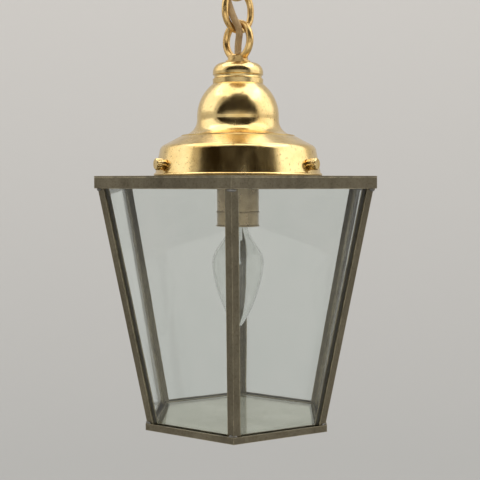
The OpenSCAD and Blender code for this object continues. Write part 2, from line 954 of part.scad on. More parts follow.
module holder_insert() {
  outer = holder_r - holder_wall - holder_slip;
  foot = holder_foot + insert_up;
  wire_hole_h = 5;
  color(white)
    at_rim()
      difference() {
        translate([0, 0, foot])
          cylinder(r = outer, h = insert_top - foot);
        translate([0, 0, foot - eps])
          cylinder(r = sleeve_r + sleeve_wall + seat_gap, h = sleeve_top - foot + eps);
        for (turn = [0, 180])
          rotate([0, 0, turn])
            translate([core_foot_r, 0, insert_top - wire_hole_h])
              cylinder(r = core_r + wire_gap, h = 2 * wire_hole_h);
      }
}

// Threaded shell that takes the bulb, open below, with a lip over the insert's end
module holder_sleeve() {
  foot = holder_foot + insert_up - seat_gap;
  lip_w = 1.4;
  lip_t = 0.6;
  color(brass)
    at_rim()
      union() {
        pipe(sleeve_r + sleeve_wall, sleeve_r, foot, sleeve_top - seat_gap);
        pipe(sleeve_r + sleeve_wall + lip_w, sleeve_r, foot - lip_t, foot);
      }
}

module holder_contact() {
  contact_r = 2.6;
  color(brass)
    at_rim()
      translate([0, 0, sleeve_top - seat_gap - contact_t])
        cylinder(r = contact_r, h = contact_t);
}

// Bulb

module bulb_cap() {
  ridges = 5;
  ridge_step = 2.8;
  ridge_r = 0.8;
  first_ridge = 1.8; // first ridge below the cap's top
  color(brass)
    at_rim()
      rotate_extrude()
        difference() {
          union() {
            translate([0, cap_foot])
              square([bulb_shell_r, bulb_cap_h]);
            for (i = [0 : ridges - 1])
              translate([bulb_cap_r - ridge_r, cap_top - first_ridge - i * ridge_step])
                circle(r = ridge_r);
          }
          translate([-eps, cap_foot - eps])
            square([bulb_shell_r - bulb_shell_t, bulb_cap_h + 2 * eps]);
        }
}

module bulb_insulator() {
  upper_r = 2.6;
  color(black)
    at_rim()
      translate([0, 0, cap_top + seat_gap])
        cylinder(r1 = bulb_shell_r - 2 * seat_gap, r2 = upper_r, h = insulator_h);
}

module bulb_contact() {
  contact_r = 2;
  color(steel)
    at_rim()
      translate([0, 0, cap_top + 2 * seat_gap + insulator_h])
        cylinder(r = contact_r, h = bulb_contact_t);
}

// Radius of the bulb's glass at u, from 0 at its cap to 1 at its tip
glass_neck_r = bulb_shell_r - bulb_shell_t - glass_gap;
belly = 0.36; // where the glass is widest
hollow = 0.04; // how much the flank is drawn in towards the tip
roundness = 0.8; // of the tip

function candle(u) = u < belly
  ? glass_neck_r + (bulb_r - glass_neck_r) * (1 - cos(180 * u / belly)) / 2
  : bulb_r * pow(cos(90 * (u - belly) / (1 - belly)), roundness)
    * (1 - hollow * sin(180 * (u - belly) / (1 - belly)));

module bulb_glass() {
  steps = 36;
  tip_t = 1.5; // thicker where the glass was drawn off
  scale_in = (bulb_glass_h - bulb_wall) / bulb_glass_h;
  outer = [for (i = [0 : steps - 1]) [candle(i / steps), cap_foot - bulb_glass_h * i / steps]];
  inner = [for (i = [steps - 1 : -1 : 0])
    [candle(i / steps) - bulb_wall, cap_foot - bulb_glass_h * i / steps * scale_in]];
  kept = [for (p = inner) if (p[0] > bulb_wall) p];
  color(clear)
    at_rim()
      rotate_extrude()
        polygon(concat([[glass_neck_r, cap_foot + glass_seat]], outer,
          [[0, cap_foot - bulb_glass_h], [0, cap_foot - (bulb_glass_h - tip_t) * scale_in]], kept,
          [[glass_neck_r - bulb_wall, cap_foot + glass_seat]]));
}

// Glass stem: a disc in the neck, a flattened tube and a thin rod with a button
module bulb_stem() {
  top = cap_foot + glass_seat;
  disc_t = 1.2;
  tube_l = 14;
  rod_l = 30;
  rod_r = 0.9;
  button_r = 1.6;
  color(clear)
    at_rim()
      rotate_extrude()
        union() {
          translate([0, top - disc_t])
            square([glass_neck_r - bulb_wall - glass_gap, disc_t]);
          translate([0, top - tube_l])
            square([stem_r, tube_l]);
          translate([0, top - rod_l])
            square([rod_r, rod_l - disc_t]);
          intersection() {
            translate([0, top - rod_l])
              circle(r = button_r);
            translate([0, top - rod_l - button_r])
              square(2 * button_r);
          }
        }
}

// A hairpin of wire whose ends leave the stem on both sides and whose foot hangs under its
// button
module bulb_filament() {
  wire_r = 0.3;
  ends = cap_foot + glass_seat - 12; // height at which the wire leaves the stem
  near = stem_r + wire_r + glass_gap;
  far = 5; // how far the wire stands off from the axis
  swing = 12; // drop over which it swings out
  foot = ends - 25.6;
  turn_r = 3; // bend at the foot
  half = concat([for (i = [0 : 6]) [near + (far - near) * (1 - cos(30 * i)) / 2, ends - swing * i / 6]],
    [for (a = [0 : 15 : 90]) [far - turn_r * (1 - cos(a)), foot + turn_r * (1 - sin(a))]]);
  color(steel)
    at_rim()
      swept(upright(concat(half, [for (p = reversed(half)) [-p[0], p[1]]])), wire_r, core_sides);
}

fixing_bar();
rose();
rose_tube();
rose_nuts();
rose_loop();
terminal_block();
terminal_screws();
flex_rose_end();
cores_rose();
for (k = [1 : 4])
  flex(k);
for (i = [1 : 3])
  link(i);
lamp_loop();
collar();
cap_dome();
gallery();
lamp_tube();
lamp_washer();
lamp_nut();
flex_lamp_end();
cores_lamp();
for (i = [1 : 3])
  gallery_screw(i);
top_plate();
neck_ring();
top_rim();
foot_rim();
floor_pane();
for (i = [1 : 6])
  corner_strip(i);
for (i = [1 : 6])
  pane(i);
holder_cap();
holder_barrel();
holder_insert();
holder_sleeve();
holder_contact();
bulb_cap();
bulb_insulator();
bulb_contact();
bulb_glass();
bulb_stem();
bulb_filament();
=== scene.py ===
"""Hexagonal glass lantern on a brass chain: materials, braid, solder, filament and studio."""

import json
import math
import random

import bmesh
import bpy
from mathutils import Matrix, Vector


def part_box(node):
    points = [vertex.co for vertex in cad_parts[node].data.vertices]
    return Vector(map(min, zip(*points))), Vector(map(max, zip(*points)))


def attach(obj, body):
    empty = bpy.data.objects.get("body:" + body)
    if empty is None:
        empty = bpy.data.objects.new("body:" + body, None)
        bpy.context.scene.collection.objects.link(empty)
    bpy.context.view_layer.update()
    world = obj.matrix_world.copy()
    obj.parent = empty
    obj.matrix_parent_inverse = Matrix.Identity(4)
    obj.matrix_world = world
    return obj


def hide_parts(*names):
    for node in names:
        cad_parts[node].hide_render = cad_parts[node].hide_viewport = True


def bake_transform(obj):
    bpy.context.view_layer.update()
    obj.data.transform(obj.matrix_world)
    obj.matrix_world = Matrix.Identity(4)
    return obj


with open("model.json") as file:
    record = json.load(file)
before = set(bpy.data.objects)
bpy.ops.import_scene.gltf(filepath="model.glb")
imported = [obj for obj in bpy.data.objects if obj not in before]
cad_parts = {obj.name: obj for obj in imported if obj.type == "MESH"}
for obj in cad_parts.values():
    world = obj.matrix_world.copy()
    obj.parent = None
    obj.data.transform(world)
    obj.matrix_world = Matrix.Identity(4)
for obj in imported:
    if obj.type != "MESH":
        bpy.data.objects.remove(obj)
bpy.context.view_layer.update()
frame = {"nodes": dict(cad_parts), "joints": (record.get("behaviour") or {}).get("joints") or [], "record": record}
nodes = frame["nodes"]
joints = {joint["name"]: joint for joint in frame["joints"]}
MM = 0.001


# Places from the frame

bodies = ["ceiling_rose", "link_1", "link_2", "link_3", "lantern"]
pivots = [joints[body + "_swing"]["pos_m"][2] for body in bodies[1:]]
rim_low, rim_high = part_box("top_rim")
rim_z = (rim_low.z + rim_high.z) / 2
foot_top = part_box("foot_rim")[1].z
rose_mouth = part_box("flex_rose_end")[0].z
lamp_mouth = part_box("flex_lamp_end")[1].z


# Objects, and the rings of points that they are made of

# Edges stay sharp above these angles, in degrees
SHARP_CAD = 32
SHARP_NEW = 50
SHARP_SURROUND = 60


def new_object(name, data):
    obj = bpy.data.objects.new(name, data)
    bpy.context.scene.collection.objects.link(obj)
    return obj


def smooth(obj, sharp):
    """Smooth faces, but for the edges at which they turn by more than sharp degrees."""
    for face in obj.data.polygons:
        face.use_smooth = True
    obj.data.set_sharp_from_angle(angle=math.radians(sharp))


def circle(radius, sides):
    """Points round a circle, as pairs of distances from its middle."""
    turns = [2 * math.pi * k / sides for k in range(sides)]
    return [(radius * math.cos(turn), radius * math.sin(turn)) for turn in turns]


def skin(work, rings):
    """Faces between each ring of points and the next one."""
    for low, high in zip(rings, rings[1:]):
        for k in range(len(low)):
            m = (k + 1) % len(low)
            work.faces.new((low[k], low[m], high[m], high[k]))


def close_ends(work, rings):
    work.faces.new(rings[0])
    work.faces.new(rings[-1])


def heading(points, i):
    """Unit vector along a path at its point i."""
    return (points[min(i + 1, len(points) - 1)] - points[max(i - 1, 0)]).normalized()


# Camera, at the photograph's viewing angle

# Pixels of the photograph: its side, the focal length, and where the lamp's axis and rim are
IMAGE_SIZE = 480
FOCAL_PX = 959.0
AXIS_PX = 238.0
RIM_PX = 183.0

SENSOR_MM = 36.0
CAMERA_DISTANCE = 0.671
CAMERA_ROUND = math.radians(2.2)


def make_camera():
    """The picture's middle is aimed so that the lamp's axis and upper rim fall on their pixels."""
    data = bpy.data.cameras.new("camera")
    data.sensor_width = SENSOR_MM
    data.lens = FOCAL_PX * SENSOR_MM / IMAGE_SIZE
    camera = new_object("camera", data)
    camera.location = (CAMERA_DISTANCE * math.sin(CAMERA_ROUND),
                       -CAMERA_DISTANCE * math.cos(CAMERA_ROUND), rim_z)
    tilt = math.atan((IMAGE_SIZE / 2 - RIM_PX) / FOCAL_PX)
    yaw = math.atan((IMAGE_SIZE / 2 - AXIS_PX) / FOCAL_PX)
    camera.rotation_euler = (math.pi / 2 - tilt, 0, CAMERA_ROUND - yaw)
    bpy.context.scene.camera = camera


# Node material helpers

# Sockets of a Mix node that mixes colours
MIX_FACTOR = 0
MIX_FIRST = 6
MIX_SECOND = 7
MIX_RESULT = 2


def rgba(colour):
    """A colour, or a number that stands for a grey, with full alpha."""
    if isinstance(colour, (int, float)):
        colour = (colour, colour, colour)
    return (*colour, 1)


class Shader:
    """A node material with one Principled shader, and short calls to feed it."""

    def __init__(self, name, **values):
        self.material = bpy.data.materials.new(name)
        self.material.use_nodes = True
        self.tree = self.material.node_tree
        self.body = self.tree.nodes["Principled BSDF"]
        self.out = self.tree.nodes["Material Output"]
        self.fill(self.body, values)

    def feed(self, socket, value):
        """Links an input to another node's output, or sets it to a number, vector or colour."""
        if isinstance(value, bpy.types.NodeSocket):
            self.tree.links.new(value, socket)
        elif socket.type == "RGBA":
            socket.default_value = rgba(value)
        else:
            socket.default_value = value

    def fill(self, node, values):
        """Feeds the inputs that values names, where _ stands for a space."""
        for key, value in values.items():
            self.feed(node.inputs[key.replace("_", " ")], value)

    def node(self, kind, **values):
        """A new node of a kind, with the inputs that values names fed."""
        made = self.tree.nodes.new("ShaderNode" + kind)
        self.fill(made, values)
        return made

    def place(self, stretch=(1, 1, 1)):
        """The point on the piece at rest, in metres times stretch."""
        coordinates = self.node("TexCoord")
        mapping = self.node("Mapping", Vector=coordinates.outputs["Object"], Scale=stretch)
        return mapping.outputs["Vector"]

    def noise(self, grain, detail=3.0, roughness=0.55, stretch=(1, 1, 1)):
        """Noise with about grain patches a metre."""
        made = self.node("TexNoise", Vector=self.place(stretch), Scale=grain, Detail=detail,
                         Roughness=roughness)
        return made.outputs["Fac"]

    def ramp(self, factor, *stops):
        """Each stop is a level of the factor, and the colour or number there."""
        made = self.node("ValToRGB", Fac=factor)
        elements = made.color_ramp.elements
        while len(elements) < len(stops):
            elements.new(0.5)
        for element, (level, colour) in zip(elements, stops):
            element.position = level
            element.color = rgba(colour)
        return made.outputs["Color"]

    def mix(self, factor, first, second, kind="MIX"):
        """The first colour at factor 0, and the second, or its product with the first, at 1."""
        made = self.node("Mix")
        made.data_type = "RGBA"
        made.blend_type = kind
        self.feed(made.inputs[MIX_FACTOR], factor)
        self.feed(made.inputs[MIX_FIRST], first)
        self.feed(made.inputs[MIX_SECOND], second)
        return made.outputs[MIX_RESULT]

    def calc(self, kind, a, b=0.0):
        """What a kind of sum makes of two numbers."""
        made = self.node("Math")
        made.operation = kind
        self.feed(made.inputs[0], a)
        self.feed(made.inputs[1], b)
        return made.outputs[0]

    def colour(self, socket):
        self.feed(self.body.inputs["Base Color"], socket)

    def rough(self, socket):
        self.feed(self.body.inputs["Roughness"], socket)

    def bump(self, *layers):
        """Each layer is a height socket and its depth in millimetres."""
        normal = None
        for height, depth in layers:
            made = self.node("Bump", Height=height, Distance=depth * MM, Strength=1.0)
            if normal is not None:
                self.feed(made.inputs["Normal"], normal)
            normal = made.outputs["Normal"]
        self.feed(self.body.inputs["Normal"], normal)

    def tones(self, grain, detail, *stops):
        """The colour, from a noise."""
        self.colour(self.ramp(self.noise(grain, detail), *stops))

    def gloss(self, grain, detail, *stops):
        """The roughness, from a noise."""
        self.rough(self.ramp(self.noise(grain, detail), *stops))

    def pits(self, grain, detail, depth):
        """Unevenness from a noise, with its depth in millimetres."""
        self.bump((self.noise(grain, detail), depth))

    def overlay(self, factor, shader):
        """Shows another shader over the Principled one, by factor."""
        both = self.node("MixShader")
        self.feed(both.inputs[0], factor)
        self.feed(both.inputs[1], self.body.outputs[0])
        self.feed(both.inputs[2], shader.outputs[0])
        self.feed(self.out.inputs["Surface"], both.outputs[0])


# Cosines between a face and its edges rounded off: rubbed at the first, clean at the second
EDGE_COSINE = 0.80
FACE_COSINE = 0.985


def edge_wear(s, radius):
    """Near 1 along the edges that hands and cloths rub, and 0 on the faces between them."""
    rounded = s.node("Bevel", Radius=radius)
    rounded.samples = 6
    faces = s.node("NewGeometry")
    cosine = s.node("VectorMath")
    cosine.operation = "DOT_PRODUCT"
    s.feed(cosine.inputs[0], rounded.outputs["Normal"])
    s.feed(cosine.inputs[1], faces.outputs["Normal"])
    edge = s.ramp(cosine.outputs["Value"], (EDGE_COSINE, 1.0), (FACE_COSINE, 0.0))
    patches = s.ramp(s.noise(160, 5), (0.36, 0.15), (0.62, 1.0))
    return s.calc("MULTIPLY", edge, patches)


def around_axis(s):
    """Distance of the point from the lamp's axis and its height, as a vector for turned marks."""
    point = s.node("SeparateXYZ", Vector=s.place())
    across = s.calc("POWER", point.outputs["X"], 2.0)
    deep = s.calc("POWER", point.outputs["Y"], 2.0)
    radius = s.calc("SQRT", s.calc("ADD", across, deep))
    return s.node("CombineXYZ", X=radius, Y=point.outputs["Z"]).outputs["Vector"]


# Brass of the cap and the chain

POLISHED = (0.90, 0.69, 0.33)
AGED = (0.72, 0.50, 0.19)
TARNISH = (0.26, 0.16, 0.065)
CHAIN = (0.82, 0.575, 0.24)
CHAIN_AGED = (0.60, 0.38, 0.14)


def polished_brass():
    """Turned and polished, with clouds of age, specks of tarnish and faint turning marks."""
    s = Shader("polished_brass", Metallic=1.0)
    worn = s.ramp(s.noise(38, 5, 0.6), (0.36, AGED), (0.62, POLISHED))
    specks = s.ramp(s.noise(420, 3, 0.6), (0.30, TARNISH), (0.40, 1.0))
    s.colour(s.mix(0.5, worn, specks, "MULTIPLY"))
    smears = s.noise(90, 4, 0.6, stretch=(1, 1, 0.35))
    s.rough(s.ramp(smears, (0.30, 0.13), (0.72, 0.30)))
    turned = s.node("TexNoise", Vector=around_axis(s), Scale=2600.0, Detail=2.0)
    s.bump((turned.outputs["Fac"], 0.012), (s.noise(60, 2), 0.12))
    return s.material


def chain_brass():
    """Duller brass of the links and of the loops that they hang between."""
    s = Shader("chain_brass", Metallic=1.0)
    worn = s.ramp(s.noise(120, 5, 0.62), (0.34, CHAIN_AGED), (0.64, CHAIN))
    specks = s.ramp(s.noise(700, 2), (0.28, TARNISH), (0.42, 1.0))
    s.colour(s.mix(0.55, worn, specks, "MULTIPLY"))
    s.gloss(240, 4, (0.30, 0.24), (0.72, 0.44))
    s.pits(380, 3, 0.06)
    return s.material


# Dark brass of the strips and rims, and the solder on them

FRAME_DARK = (0.128, 0.110, 0.076)
FRAME_MIDDLE = (0.184, 0.160, 0.110)
FRAME_LIGHT = (0.262, 0.230, 0.162)
FRAME_SPOTS = (0.55, 0.52, 0.46)
RUBBED = (0.62, 0.54, 0.36)
RUBBED_ROUGHNESS = 0.26
RUBBED_WIDTH = 0.9 * MM


def frame_brass():
    """Brass gone brown in clouds and spots, and rubbed bright along its edges."""
    s = Shader("frame_brass", Metallic=0.85)
    cloud = s.noise(55, 6, 0.62, stretch=(1, 1, 0.4))
    brown = s.ramp(cloud, (0.30, FRAME_DARK), (0.52, FRAME_MIDDLE), (0.75, FRAME_LIGHT))
    spots = s.ramp(s.noise(760, 4), (0.30, FRAME_SPOTS), (0.50, 1.0))
    wear = edge_wear(s, RUBBED_WIDTH)
    s.colour(s.mix(wear, s.mix(0.6, brown, spots, "MULTIPLY"), RUBBED))
    dull = s.ramp(s.noise(160, 4), (0.28, 0.30), (0.75, 0.50))
    s.rough(s.mix(wear, dull, RUBBED_ROUGHNESS))
    s.bump((s.noise(900, 3), 0.03), (s.noise(70, 3), 0.15))
    return s.material


def solder():
    """Dull grey and uneven."""
    s = Shader("solder", Metallic=0.9)
    s.tones(300, 4, (0.30, (0.13, 0.125, 0.11)), (0.70, (0.30, 0.29, 0.265)))
    s.gloss(420, 3, (0.3, 0.38), (0.7, 0.58))
    s.pits(500, 3, 0.12)
    return s.material


# Glass

SHADOW_TINT = (0.93, 0.95, 0.93)


def let_light_through(s):
    """Light reaches what is behind the glass, tinted a little."""
    path = s.node("LightPath")
    through = s.node("BsdfTransparent", Color=SHADOW_TINT)
    s.overlay(path.outputs["Is Shadow Ray"], through)


def lantern_glass():
    """Old drawn glass, a little green, with slow waves in it and a film of dirt."""
    s = Shader("lantern_glass", Roughness=0.0, IOR=1.5, Transmission_Weight=1.0)
    film = s.noise(24, 5, 0.62, stretch=(1, 1, 0.5))
    s.colour(s.ramp(film, (0.35, (0.930, 0.962, 0.950)), (0.75, (0.972, 0.992, 0.985))))
    s.rough(s.ramp(s.noise(36, 5, 0.65), (0.42, 0.012), (0.78, 0.07)))
    waves = s.noise(17, 1.5, 0.4, stretch=(1, 1, 0.45))
    s.bump((waves, 0.5), (s.noise(60, 1), 0.03))
    let_light_through(s)
    return s.material


def floor_glass():
    """The bottom pane, on which dust and soot have settled."""
    s = Shader("floor_glass", Roughness=0.0, IOR=1.5, Transmission_Weight=1.0)
    dust = s.noise(30, 6, 0.65)
    settled = s.ramp(dust, (0.32, (0.60, 0.615, 0.49)), (0.72, (0.76, 0.78, 0.67)))
    grain = s.ramp(s.noise(420, 3), (0.36, 0.86), (0.60, 1.0))
    s.colour(s.mix(0.7, settled, grain, "MULTIPLY"))
    s.rough(s.ramp(dust, (0.35, 0.10), (0.70, 0.02)))
    s.pits(40, 2, 0.06)
    let_light_through(s)
    return s.material


def bulb_glass():
    """Clear blown glass."""
    s = Shader("bulb_glass", Roughness=0.0, IOR=1.48, Transmission_Weight=1.0)
    s.tones(90, 3, (0.35, (0.925, 0.935, 0.92)), (0.7, (0.97, 0.975, 0.965)))
    s.pits(70, 2, 0.08)
    let_light_through(s)
    return s.material


def black_glass():
    """Insulator in the foot of the bulb's cap."""
    s = Shader("black_glass", IOR=1.5)
    s.tones(600, 3, (0.3, (0.012, 0.012, 0.016)), (0.7, (0.03, 0.03, 0.04)))
    s.gloss(400, 3, (0.3, 0.10), (0.7, 0.22))
    s.pits(500, 2, 0.05)
    return s.material


# Metals, porcelain, braid and insulation of the working parts


def zinc_steel():
    """Plated steel of the bar, tubes and nuts, with level grooves such as a thread has."""
    s = Shader("zinc_steel", Metallic=1.0)
    s.tones(260, 5, (0.32, (0.36, 0.36, 0.35)), (0.7, (0.62, 0.62, 0.60)))
    s.gloss(420, 3, (0.3, 0.30), (0.7, 0.50))
    grooves = s.node("TexWave", Vector=s.place(), Scale=160.0)
    grooves.bands_direction = "Z"
    s.bump((grooves.outputs["Fac"], 0.25))
    return s.material


def contact_brass():
    """Plain brass of the terminal screws, the threaded sleeve and the contact."""
    s = Shader("contact_brass", Metallic=1.0)
    s.tones(500, 4, (0.32, (0.46, 0.33, 0.15)), (0.66, (0.74, 0.58, 0.31)))
    s.gloss(600, 3, (0.3, 0.24), (0.7, 0.42))
    s.pits(1200, 2, 0.02)
    return s.material


def holder_brass():
    """Lacquered sheet brass of the lampholder."""
    s = Shader("holder_brass", Metallic=1.0, Coat_Weight=0.35, Coat_Roughness=0.2)
    s.tones(150, 5, (0.30, (0.40, 0.30, 0.165)), (0.70, (0.53, 0.41, 0.24)))
    s.gloss(260, 4, (0.3, 0.24), (0.7, 0.45))
    s.pits(700, 2, 0.03)
    return s.material


def bulb_metal():
    """White metal of the bulb's cap and contact."""
    s = Shader("bulb_metal", Metallic=1.0)
    s.tones(420, 4, (0.32, (0.50, 0.49, 0.46)), (0.7, (0.74, 0.73, 0.69)))
    s.gloss(500, 3, (0.3, 0.22), (0.7, 0.42))
    s.pits(900, 2, 0.03)
    return s.material


def filament_wire():
    """Dark grey wire."""
    s = Shader("filament_wire", Metallic=1.0)
    s.tones(900, 3, (0.3, (0.16, 0.155, 0.15)), (0.7, (0.34, 0.33, 0.32)))
    s.gloss(900, 2, (0.3, 0.35), (0.7, 0.55))
    s.pits(1500, 2, 0.02)
    return s.material


def porcelain():
    """Glazed and off-white, of the terminal block and the lampholder's insert."""
    s = Shader("porcelain", IOR=1.5, Coat_Weight=0.6, Coat_Roughness=0.06)
    s.tones(160, 5, (0.30, (0.66, 0.63, 0.55)), (0.65, (0.80, 0.78, 0.72)))
    s.gloss(220, 3, (0.3, 0.12), (0.7, 0.28))
    s.pits(180, 2, 0.08)
    return s.material


def braid():
    """Old gold thread, faded in places."""
    s = Shader("braid", Metallic=0.0, Specular_IOR_Level=0.35,
               Sheen_Weight=0.12, Sheen_Roughness=0.4)
    thread = s.noise(3800, 2, 0.6)
    gold = s.ramp(s.noise(130, 4, 0.6), (0.32, (0.37, 0.235, 0.105)), (0.70, (0.55, 0.39, 0.20)))
    s.colour(s.mix(0.4, gold, s.ramp(thread, (0.36, 0.62), (0.60, 1.0)), "MULTIPLY"))
    s.rough(s.ramp(thread, (0.3, 0.50), (0.7, 0.70)))
    s.bump((thread, 0.02))
    return s.material


def core_insulation():
    """Dull cream insulation of the single cores."""
    s = Shader("core_insulation", Metallic=0.0)
    s.tones(300, 3, (0.35, (0.52, 0.47, 0.38)), (0.7, (0.66, 0.62, 0.53)))
    s.gloss(500, 3, (0.3, 0.38), (0.7, 0.55))
    s.pits(900, 2, 0.03)
    return s.material


# The material of each slot, and of the chain, the solder and the bottom pane

MAKERS = {
    "brass": polished_brass, "frame_brass": frame_brass, "lantern_glass": lantern_glass,
    "zinc_steel": zinc_steel, "braid": braid, "core_insulation": core_insulation,
    "porcelain": porcelain, "contact_brass": contact_brass, "holder_brass": holder_brass,
    "bulb_metal": bulb_metal, "bulb_black": black_glass, "bulb_glass": bulb_glass,
    "filament": filament_wire,
}
materials = {slot: maker() for slot, maker in MAKERS.items()}
chain_material = chain_brass()
solder_material = solder()
floor_material = floor_glass()


def dress_nodes():
    """Gives every node of the frame its slot's material, and smooth faces between real edges."""
    slots = {row["node"]: row["material_slot"] for row in frame["record"]["subparts"]}
    for name, obj in nodes.items():
        material = materials[slots[name]]
        if name.startswith("link_") or name.endswith("_loop"):
            material = chain_material
        if name == "floor_pane":
            material = floor_material
        obj.data.materials.clear()
        obj.data.materials.append(material)
        smooth(obj, SHARP_CAD)


# New pieces


def piece(name, build, material):
    """A mesh piece from build(mesh), with its material."""
    work = bmesh.new()
    build(work)
    bmesh.ops.recalc_face_normals(work, faces=work.faces)
    data = bpy.data.meshes.new(name)
    work.to_mesh(data)
    work.free()
    data.materials.append(material)
    obj = new_object(name, data)
    smooth(obj, SHARP_NEW)
    return obj


def sweep(work, points, section):
    """A closed tube along a path, with section(i) as pairs across and up at its point i."""
    rings = []
    across = Vector((0, 1, 0))
    for i, point in enumerate(points):
        along = heading(points, i)
        across = (across - along * across.dot(along)).normalized()
        up = along.cross(across)
        rings.append([work.verts.new(point + a * across + b * up) for a, b in section(i)])
    skin(work, rings)
    close_ends(work, rings)


def resample(points, step):
    """Points an even step apart along a path of straight lines, and the path's length."""
    lengths = [0.0]
    for a, b in zip(points, points[1:]):
        lengths.append(lengths[-1] + (b - a).length)
    count = max(2, round(lengths[-1] / step))
    made = []
    place = 0
    for i in range(count + 1):
        distance = lengths[-1] * i / count
        while place < len(points) - 2 and lengths[place + 1] < distance:
            place += 1
        span = lengths[place + 1] - lengths[place]
        made.append(points[place].lerp(points[place + 1], (distance - lengths[place]) / span))
    return made, lengths[-1]


# Route of the flex: on the axis at the wireways, woven a quarter turn with each link

# Sizes of the chain and the flex, as in the CAD
LINKS = 3
FLEX_R = 2.5 * MM
LINK_WIRE_R = 2.3 * MM
LINK_BEND_R = 12.0 * MM
LOOP_WIRE_R = 2.5 * MM
LINK_GAP = 0.1 * MM
WEAVE_GAP = 0.35 * MM
LEAD_STRAIGHT = 0.3 * MM

# Steps of the route in each link, and in each lead from a wireway to the chain
LINK_STEPS = 96
LEAD_STEPS = 48

crossings = [pivot + LINK_WIRE_R + LINK_GAP / 2 for pivot in pivots]
link_pitch = crossings[1] - crossings[2]
cross_r = math.sqrt(2) * (LOOP_WIRE_R + FLEX_R + WEAVE_GAP)
mid_r = LINK_BEND_R - LINK_WIRE_R - FLEX_R - WEAVE_GAP


def round_axis(radius, quarters, height):
    """The point at a radius from the lamp's axis, after so many quarter turns from +X."""
    turn = math.pi / 2 * quarters
    return Vector((radius * math.cos(turn), radius * math.sin(turn), height))


def woven(k, u):
    """The route in link k, as u goes from 0 at the crossing above it to 1 at the one below."""
    radius = cross_r + (mid_r - cross_r) * (1 - math.cos(2 * math.pi * u)) / 2
    return round_axis(radius, k + u, crossings[k] + (crossings[k + 1] - crossings[k]) * u)


def lead(k, mouth):
    """From a wireway out to the side of crossing k, which it reaches turning as the weave does."""
    start = mouth + math.copysign(LEAD_STRAIGHT, crossings[k] - mouth)
    drop = crossings[k] - start
    points = [Vector((0, 0, mouth))]
    for i in range(LEAD_STEPS):
        u = i / LEAD_STEPS
        radius = cross_r * (1 - math.cos(math.pi * u)) / 2
        quarters = k + (1 - u) * u * u * drop / link_pitch
        points.append(round_axis(radius, quarters, start + drop * u))
    return points


def flex_route():
    """The whole route, and where it is cut in the middle of each link."""
    points = lead(0, rose_mouth)
    cuts = [0]
    for k in range(LINKS):
        cuts.append(len(points) + LINK_STEPS // 2)
        points += [woven(k, i / LINK_STEPS) for i in range(LINK_STEPS)]
    points.append(woven(LINKS - 1, 1))
    points += reversed(lead(LINKS, lamp_mouth))
    cuts.append(len(points) - 1)
    return points, cuts


# Braid of the flex: flat strands each way over a plain core

CARRIERS = 8
# A strand winds round once in the lay, and rises and sinks as it passes over and under others
BRAID_LAY = 13.5 * MM
BRAID_RISE = 0.17 * MM
BRAID_STEP = 0.3 * MM
STRAND_THICK = 0.52 * MM
STRAND_WIDTH = 1.22 * MM
STRAND_SIDES = 8
CORE_GAP = 0.1 * MM
CORE_SIDES = 12
braid_r = FLEX_R - STRAND_THICK / 2 - BRAID_RISE


def stations(points):
    """Each point of a path, with unit vectors along it and two ways across it."""
    made = []
    for i, point in enumerate(points):
        along = heading(points, i)
        across = Vector((0, 1, 0)).cross(along).normalized()
        made.append((point, along, across, along.cross(across)))
    return made


def strand_outline(station, way, k, wound):
    """Points round strand k of one way, at a station where the braid has wound so far."""
    point, along, across, up = station
    turn = way * wound + 2 * math.pi * k / CARRIERS
    out = math.cos(turn) * across + math.sin(turn) * up
    side = math.cos(turn) * up - math.sin(turn) * across
    run = (along + way * side * 2 * math.pi * braid_r / BRAID_LAY).normalized()
    flat = run.cross(out)
    rise = way * BRAID_RISE * math.cos(CARRIERS * wound)
    middle = point + out * (braid_r + rise)
    return [middle + flat * a * STRAND_WIDTH / 2 + out * b * STRAND_THICK / 2
            for a, b in circle(1, STRAND_SIDES)]


def braid_strands(work, points, start):
    """Flat strands that wind both ways round the route and pass over and under each other."""
    route = stations(points)
    for way in (1, -1):
        for k in range(CARRIERS):
            rings = []
            for i, station in enumerate(route):
                wound = 2 * math.pi * (start + i * BRAID_STEP) / BRAID_LAY
                outline = strand_outline(station, way, k, wound)
                rings.append([work.verts.new(point) for point in outline])
            skin(work, rings)
            close_ends(work, rings)


def make_flex():
    """A braid for each stretch of the CAD's flex, which bends between the bodies at its ends."""
    points, cuts = flex_route()
    core = circle(braid_r - CORE_GAP, CORE_SIDES)
    start = 0.0
    for k in range(LINKS + 1):
        stretch, length = resample(points[cuts[k]:cuts[k + 1] + 1], BRAID_STEP)

        def build(work):
            sweep(work, stretch, lambda i: core)
            braid_strands(work, stretch, start)

        obj = piece(f"flex_braid_{k + 1}", build, materials["braid"])
        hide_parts(f"flex_{k + 1}")
        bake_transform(obj)
        start += length


# Solder where the strips meet the rims

# Corners of the glass body, as in the CAD, with the turn of the first from +X in degrees
CORNERS = 6
FIRST_CORNER = -90
BODY_TOP_R = 102.5 * MM
BODY_FOOT_R = 67.5 * MM
BODY_HIGH = 165.0 * MM

# Places and sizes of the mounds, across, out and up
UNDER_RIM = 0.5 * MM
OVER_FOOT = 0.3 * MM
SOLDER_PROUD = 0.2 * MM
TOP_BLOB = (3.1 * MM, 1.2 * MM, 1.3 * MM)
FOOT_BLOB = (3.0 * MM, 0.9 * MM, 1.2 * MM)

# How each mound differs from the next
TOP_SEED = 11
FOOT_SEED = 31
BLOB_SHIFT = 0.5 * MM
BLOB_FINENESS = 3
BLOB_SCALES = (0.85, 1.1)
LOBES = 6
LOBE_HEIGHTS = (0.05, 0.25)
LOBE_SHARPNESS = 4


def corner_r(height):
    """About how far the glass body's corners are from the axis, at a height."""
    slope = (BODY_TOP_R - BODY_FOOT_R) / BODY_HIGH
    return BODY_TOP_R + (height - rim_z) * slope


